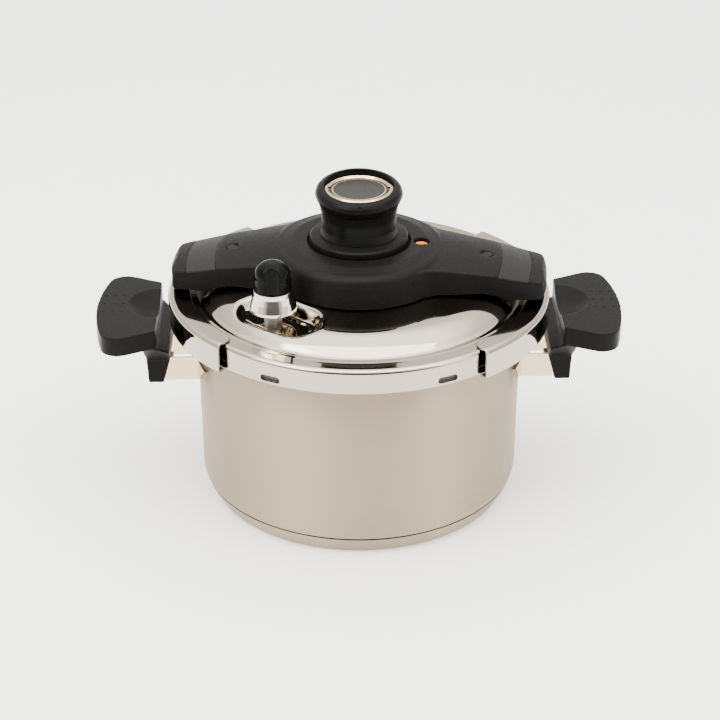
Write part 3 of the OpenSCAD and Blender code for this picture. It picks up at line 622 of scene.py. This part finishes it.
def jaw_surface(side):
    """Outer face of a jaw: top plate, rolled edge, wall and the lip under the rim, with rounded corners."""
    name = "jaw_left" if side < 0 else "jaw_right"
    top = mm_box(name)[1].z
    bottom = mm_box(name.replace("jaw", "jaw_claw"))[0].z
    travel = JOINTS[name + "_slide"]["range_m"][1] / MM
    r_out = SKIRT_R + JAW_GAP + JAW_SHEET
    r_in = DOME_R + 0.5
    clear = SKIRT_R - 0.6
    plate_steps, bend_steps, wall_steps, curl_steps, lip_steps, columns = 14, 8, 8, 6, 4, 120
    section = [(r_in + (r_out - JAW_BEND - r_in) * k / plate_steps, top) for k in range(plate_steps + 1)]
    section += [(r_out - JAW_BEND + JAW_BEND * math.sin(a), top - JAW_BEND + JAW_BEND * math.cos(a))
                for a in quarter(bend_steps)]
    wall_end = bottom + JAW_LIP
    section += [(r_out, top - JAW_BEND - (top - JAW_BEND - wall_end) * k / wall_steps)
                for k in range(1, wall_steps + 1)]
    section += [(r_out - JAW_LIP + JAW_LIP * math.cos(a), wall_end - JAW_LIP * math.sin(a))
                for a in quarter(curl_steps)]
    bm = bmesh.new()
    half_turn = Matrix.Rotation(math.pi if side < 0 else 0, 3, "Z")

    def corner(r, a, z):
        p = half_turn @ Vector((travel + r * math.cos(a), r * math.sin(a), z))
        return bm.verts.new(lid_point(p.x, p.y, p.z))

    grid = []
    for i in range(columns + 1):
        column = []
        for r, z in section:
            depth = max(0.0, r - r_in)
            left = JAW_CORNER - min(depth, JAW_CORNER)
            trim = (JAW_CORNER - math.sqrt(max(0.0, JAW_CORNER ** 2 - left ** 2))) / r_in
            column.append(corner(r, -JAW_NEAR + trim + (JAW_NEAR + JAW_FAR - 2 * trim) * i / columns, z))
        a = -JAW_NEAR + (JAW_NEAR + JAW_FAR) * i / columns
        # the lip ends where it clears the pot rim with the jaw released
        start = r_out - JAW_LIP
        reach = -travel * math.cos(a) + math.sqrt(clear ** 2 - (travel * math.sin(a)) ** 2)
        end = min(reach + 0.05, start - 0.02)
        column += [corner(start + (end - start) * k / lip_steps, a, bottom) for k in range(1, lip_steps + 1)]
        grid.append(column)
    for a, b in zip(grid, grid[1:]):
        for k in range(len(a) - 1):
            bm.faces.new([a[k], a[k + 1], b[k + 1], b[k]])
    return bm


for side, name in ((-1, "jaw_left"), (1, "jaw_right")):
    jaw = new_piece(name + "_sheet", jaw_surface(side), [name, name.replace("jaw", "jaw_claw")])
    # a little less than the CAD's sheet, so that it clears the lid when the jaws are clamped
    sheet = jaw.modifiers.new("sheet", "SOLIDIFY")
    sheet.thickness = (JAW_SHEET - 0.1) * MM
    sheet.offset = -1
    bevel = jaw.modifiers.new("edge", "BEVEL")
    bevel.width = 0.7 * MM
    bevel.segments = 4
    bevel.limit_method = "ANGLE"
    bevel.angle_limit = math.radians(50)
    apply_modifiers(jaw)

# ---------------------------------------------------------------- bridge, handles

DIMPLE_R = 1.6
DIMPLE_RISE = 1.1                  # height of a dimple's centre over the grip
DIMPLE_STEP = Vector((6.4, 12))
DIMPLES_AT = Vector((11.5, 4.5))   # from the outer edge, and from the middle


def ball(bm, spot, radius):
    bmesh.ops.create_icosphere(bm, subdivisions=3, radius=radius * MM, matrix=Matrix.Translation(spot * MM))


softened("bridge_moulding", "bridge_cover", 0.7, 7)
for name in ("handle_left", "handle_right"):
    handle = softened(name + "_moulding", name, 0.6, 5)
    low, high = mm_box(name)
    outward = 1 if high.x > 0 else -1
    reach = high.x if outward > 0 else -low.x
    dimples = bmesh.new()
    for i in (-1, 0, 1):
        for j in (-1, 0, 1):
            ball(dimples, Vector((outward * (reach - DIMPLES_AT.x + DIMPLE_STEP.x * i),
                                  DIMPLES_AT.y + DIMPLE_STEP.y * j, high.z + DIMPLE_RISE)), DIMPLE_R)
    cut(handle, dimples)

# ---------------------------------------------------------------- knob

grip_low, grip_high = mm_box("knob_grip")
base_low, base_high = mm_box("knob_base")
bezel_low, bezel_high = mm_box("knob_bezel")
KNOB_R = (grip_high.x - grip_low.x) / 2
KNOB_BORE = 12.0
WAIST = KNOB_R - 4.2
SEAT_R = 23.5                     # recess of the bezel
KNOB_TILT = math.tan(math.radians(5.4))
foot, head = grip_low.z, bezel_high.z + 1.4
grip = [(KNOB_BORE, foot), (WAIST + 1.2, foot, 0.3), (WAIST + 0.6, foot + 2, 2), (WAIST, foot + 5, 8),
        (WAIST, foot + 13, 20), (WAIST + 1.3, head - 12.5, 14), (WAIST + 2.6, head - 9.2, 8),
        (KNOB_R - 0.5, head - 6.6, 1.0), (KNOB_R, head - 5.2, 0.8), (KNOB_R - 0.6, head - 3.0, 2.0),
        (KNOB_R - 2.2, head - 1.0, 2.0), (SEAT_R + 1.1, head, 1.2), (SEAT_R, head, 0.25),
        (SEAT_R, bezel_low.z, 0.1), (KNOB_BORE, bezel_low.z, 0.1), (KNOB_BORE, foot)]
knob_mesh = lathe(rounded(grip, 0.3, 8))
for v in knob_mesh.verts:
    # the rim leans towards the front; the recess for the bezel stays level
    lean = smooth_step((v.co.z / MM - (head - 15)) / 7)
    if v.co.z < bezel_low.z * MM + 1e-6 and math.hypot(v.co.x, v.co.y) < (SEAT_R + 0.1) * MM:
        lean = 0.0
    v.co.z += lean * KNOB_TILT * v.co.y
knob = new_piece("knob_body", knob_mesh, ["knob_grip"])
MARK_R = 27.4                     # index mark on the rim
mark = bmesh.new()
ball(mark, Vector((0, -MARK_R, head - 2.0 - MARK_R * KNOB_TILT + 0.2)), 0.8)
cut(knob, mark)

foot_r = (base_high.x - base_low.x) / 2
collar = [(KNOB_BORE, base_low.z), (foot_r, base_low.z, 0.4), (foot_r, base_high.z - 2.2, 0.7),
          (foot_r - 1.2, base_high.z - 1.1, 0.8), (27.2, base_high.z, 1.0), (KNOB_BORE, base_high.z, 0.1),
          (KNOB_BORE, base_low.z)]
new_piece("knob_foot", lathe(rounded(collar, 0.3, 6)), ["knob_base"])

BEZEL_BORE = 19.4
EDGE = 0.75
bezel_r = (bezel_high.x - bezel_low.x) / 2
ring = [(BEZEL_BORE, bezel_low.z), (bezel_r, bezel_low.z, 0.1), (bezel_r, bezel_high.z - EDGE, 0.3),
        (bezel_r - EDGE, bezel_high.z, 0.3), (BEZEL_BORE + 1.5, bezel_high.z, 0.3),
        (BEZEL_BORE + 0.2, bezel_high.z - 1.2, 0.2), (BEZEL_BORE, bezel_low.z)]
new_piece("knob_ring", lathe(rounded(ring, 0.2, 5)), ["knob_bezel"], "champagne")

# ---------------------------------------------------------------- valve

bell_low, bell_high = mm_box("valve_bell")
bz = bell_low.z
BELL_BORE = 4.3
WELL_R = 8.0                      # inner well, round the clip
WELL_TOP = bz + 11.6
bell = [(BELL_BORE, bz + 0.7), (WELL_R, bz + 0.7, 0.2), (WELL_R, WELL_TOP, 0.3), (WELL_R + 3, WELL_TOP, 0.5),
        (14.3, bz + 1, 0.4), (14.3, bz, 0.2), (15.1, bz, 0.3), (15.75, bz + 0.7, 0.4), (15.55, bz + 2.4, 1.0),
        (14.2, bz + 7, 6), (13.1, bz + 11.4, 4), (12.65, bell_high.z, 0.2), (BELL_BORE, bell_high.z, 0.2),
        (BELL_BORE, bz + 0.7)]
new_piece("valve_skirt", lathe(rounded(bell, 0.3, 8), (valve_joint[0], valve_joint[1]), 128), ["valve_bell"])
softened("valve_cap", "valve_grip", 0.3, 6)

# ---------------------------------------------------------------- floor, light and camera

REACH = 9.0
corners = [(-REACH, -REACH, 0), (REACH, -REACH, 0), (REACH, REACH, 0), (-REACH, REACH, 0)]
floor_mesh = bpy.data.meshes.new("floor")
floor_mesh.from_pydata(corners, [], [(0, 1, 2, 3)])
floor = bpy.data.objects.new("floor", floor_mesh)
bpy.context.scene.collection.objects.link(floor)
floor_look = Shader("floor", Metallic=0.0, Specular_IOR_Level=0.1, Emission_Strength=0.45)
floor_look.bsdf.inputs["Emission Color"].default_value = (1.0, 0.99, 0.975, 1)
floor_drift = floor_look.remap(floor_look.noise(3.0), 0.0, 1.0)
floor_look.colour(floor_look.mix(floor_drift, (0.93, 0.93, 0.925), (0.91, 0.91, 0.905)))
floor_look.rough(floor_look.remap(floor_look.noise(40.0), 0.6, 0.7))
floor_mesh.materials.append(floor_look.mat)

WORLD_STRENGTH = 5.2
# brightness of the studio from straight down (0) to straight up (1)
SKY = ((0.25, 0.30), (0.50, 0.35), (0.68, 0.46))
DARK_SIDE = Vector((0.0, -1.0, 0.05)).normalized()

world = bpy.data.worlds.new("studio")
bpy.context.scene.world = world
world.use_nodes = True
studio = world.node_tree
back = studio.nodes["Background"]
back.inputs["Strength"].default_value = WORLD_STRENGTH
direction = studio.nodes.new("ShaderNodeTexCoord")
split = studio.nodes.new("ShaderNodeSeparateXYZ")
ramp = studio.nodes.new("ShaderNodeValToRGB")
studio.links.new(direction.outputs["Generated"], split.inputs[0])
studio.links.new(split.outputs["Z"], ramp.inputs["Fac"])
stops = ramp.color_ramp.elements
stops[0].position, stops[0].color = 0.0, (0.34, 0.335, 0.33, 1)
stops[1].position, stops[1].color = 0.88, (1.0, 0.985, 0.96, 1)
for place, level in SKY:
    stops.new(place).color = (level, level * 0.98, level * 0.95, 1)
# the side of the studio where the photographer stands is darker
toward = studio.nodes.new("ShaderNodeVectorMath")
toward.operation = "DOT_PRODUCT"
toward.inputs[1].default_value = DARK_SIDE
studio.links.new(direction.outputs["Generated"], toward.inputs[0])
shade = studio.nodes.new("ShaderNodeMapRange")
for key, value in (("From Min", 0.62), ("From Max", 0.90), ("To Min", 1.0), ("To Max", 0.12)):
    shade.inputs[key].default_value = value
studio.links.new(toward.outputs["Value"], shade.inputs["Value"])
dim = studio.nodes.new("ShaderNodeVectorMath")
dim.operation = "SCALE"
studio.links.new(ramp.outputs["Color"], dim.inputs[0])
studio.links.new(shade.outputs["Result"], dim.inputs["Scale"])
studio.links.new(dim.outputs["Vector"], back.inputs["Color"])


def aimed(obj, where, aim):
    obj.location = where
    obj.rotation_euler = (Vector(aim) - Vector(where)).to_track_quat("-Z", "Y").to_euler()
    bpy.context.scene.collection.objects.link(obj)
    return obj


def softbox(name, where, size, power):
    data = bpy.data.lights.new(name, "AREA")
    data.shape = "RECTANGLE"
    data.size, data.size_y = size
    data.energy = power
    data.color = (1, 0.98, 0.95)
    aimed(bpy.data.objects.new(name, data), where, (0, 0, 0.1))


softbox("key", (-1.3, -1.0, 2.0), (1.6, 1.6), 38)
softbox("fill", (1.6, -0.9, 1.2), (0.9, 1.5), 10)
softbox("top", (0.0, -0.55, 2.1), (2.6, 1.1), 42)

camera_data = bpy.data.cameras.new("camera")
camera_data.lens = 100.0
camera_data.sensor_width = 36.0
camera_data.shift_x = 1 / 720     # moves the picture one pixel to the left
camera = bpy.data.objects.new("camera", camera_data)
bpy.context.scene.camera = aimed(camera, (-0.0257, -1.2286, 0.7391), (0, 0, 0.09066))
